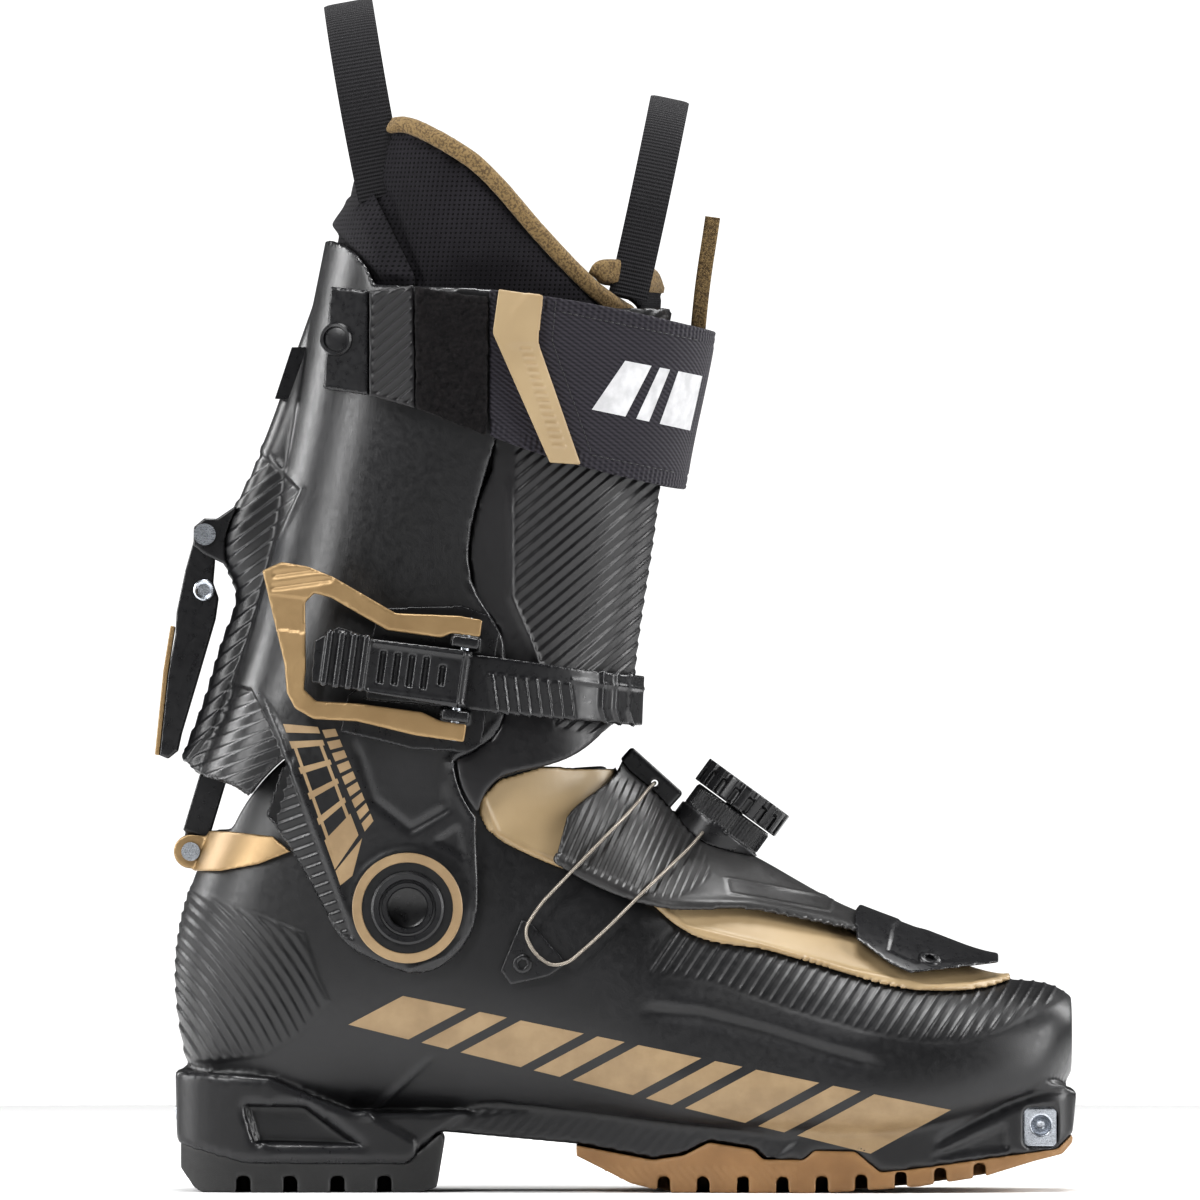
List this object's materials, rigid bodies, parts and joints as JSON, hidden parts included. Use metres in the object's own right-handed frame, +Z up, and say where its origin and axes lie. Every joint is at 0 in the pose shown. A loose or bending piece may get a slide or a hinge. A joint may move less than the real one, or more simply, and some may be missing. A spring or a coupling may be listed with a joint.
{
  "type": "alpine touring boot",
  "caption": "Ski touring boot with a pivoting cuff, walk lever with lock bar, ratchet buckle, cable dial closure, wrap strap, padded liner and treaded sole.",
  "frame": {"origin": "on the floor under the middle of the boot's outer box", "axes": "+X towards the toe, +Z up, -Y towards the outer side of the right foot"},
  "size_m": [0.3047, 0.126, 0.3961],
  "materials": {
    "shell_black": "satin moulded polyamide",
    "cuff_black": "satin carbon-filled polyamide",
    "plastic_black": "smooth black plastic",
    "gold_plastic": "soft gold elastomer",
    "gold_metal": "anodised gold",
    "steel": "zinc plated",
    "rubber_black": "moulded tread",
    "rubber_tan": "moulded tread",
    "foam_black": "mesh over foam",
    "trim_gold": "suede edge binding",
    "webbing_black": "woven webbing",
    "strap_black": "diagonal woven strap",
    "fuzzy_black": "hook and loop pile",
    "cable": "stranded wire in nylon"
  },
  "bodies": {
    "lower_boot": {"lower_shell": "shell_black", "heel_sole": "rubber_black", "forefoot_sole": "rubber_tan", "toe_insert": "steel", "heel_insert": "steel", "heel_insert_screws": "steel", "bootboard": "plastic_black", "liner_boot": "foam_black", "footbed": "foam_black", "gaiter": "gold_plastic", "tongue_instep": "shell_black", "tongue_anchor": "plastic_black", "anchor_screws": "plastic_black", "lace_guide_upper": "plastic_black", "lace_guide_lateral": "plastic_black", "lace_guide_medial": "plastic_black", "guide_screws": "plastic_black", "lace_cable": "cable", "dial_base": "plastic_black", "heel_bracket": "gold_metal", "heel_bracket_pin": "steel", "ankle_pivot_lateral": "plastic_black", "ankle_pivot_medial": "plastic_black"},
    "cuff": {"cuff_shell": "cuff_black", "tongue_shin": "shell_black", "pivot_ring_lateral": "gold_metal", "pivot_ring_medial": "gold_metal", "liner_cuff": "foam_black", "liner_collar_trim": "trim_gold", "liner_tongue": "foam_black", "liner_rear_pad": "foam_black", "front_pull_loop": "webbing_black", "rear_pull_loop": "webbing_black", "power_strap": "strap_black", "power_strap_pad": "fuzzy_black", "power_strap_band": "plastic_black", "power_strap_mount": "plastic_black", "power_strap_rivet": "plastic_black", "power_strap_tab": "gold_plastic", "release_tape": "trim_gold", "buckle_base": "plastic_black", "buckle_pin": "steel", "ladder_strap": "plastic_black", "strap_anchor": "plastic_black", "strap_anchor_rivet": "steel", "lever_bracket": "plastic_black", "walk_lever_pin": "steel", "rear_badge": "plastic_black"},
    "lock_bar": {"lock_bar": "plastic_black"},
    "walk_lever": {"walk_lever": "plastic_black", "walk_lever_trim": "gold_metal", "link_pin": "steel"},
    "buckle_lever": {"buckle_lever": "gold_metal"},
    "ratchet": {"ratchet_pawl": "plastic_black"},
    "dial_carrier": {"dial_carrier": "plastic_black"},
    "dial_knob": {"dial_knob": "plastic_black"}
  },
  "joints": [
    {"name": "cuff_pivot", "type": "hinge", "parent": "lower_boot", "child": "cuff", "pos_m": [-0.0685, 0, 0.094], "axis": [0, 1, 0], "range_deg": [-20, 6]},
    {"name": "lock_bar_pivot", "type": "hinge", "parent": "lower_boot", "child": "lock_bar", "pos_m": [-0.1405, 0, 0.1122], "axis": [0, 1, 0], "range_deg": [-22.5, 7]},
    {"name": "walk_lever_pivot", "type": "hinge", "parent": "cuff", "child": "walk_lever", "pos_m": [-0.1358, 0, 0.2171], "axis": [0, 1, 0], "range_deg": [0, 120]},
    {"name": "buckle_lever_pivot", "type": "hinge", "parent": "cuff", "child": "buckle_lever", "pos_m": [-0.051, -0.0608, 0.1694], "axis": [0.1357, 0, 0.9907], "range_deg": [0, 110]},
    {"name": "ratchet_pivot", "type": "hinge", "parent": "buckle_lever", "child": "ratchet", "pos_m": [-0.051, -0.0608, 0.1694], "axis": [0.1357, 0, 0.9907], "range_deg": [0, 18], "stiffness_Nm_per_rad": 0.06, "springref_deg": -11.46},
    {"name": "dial_pull", "type": "slide", "parent": "lower_boot", "child": "dial_carrier", "axis": [0.5906, 0, 0.807], "range_m": [0, 0.003]},
    {"name": "dial_turn", "type": "hinge", "parent": "dial_carrier", "child": "dial_knob", "pos_m": [0.0337, 0, 0.1186], "axis": [0.5906, 0, 0.807], "continuous": true}
  ],
  "couplings": [
    {"joint": "lock_bar_pivot", "follows": "cuff_pivot", "ratio": 1.1}
  ]
}
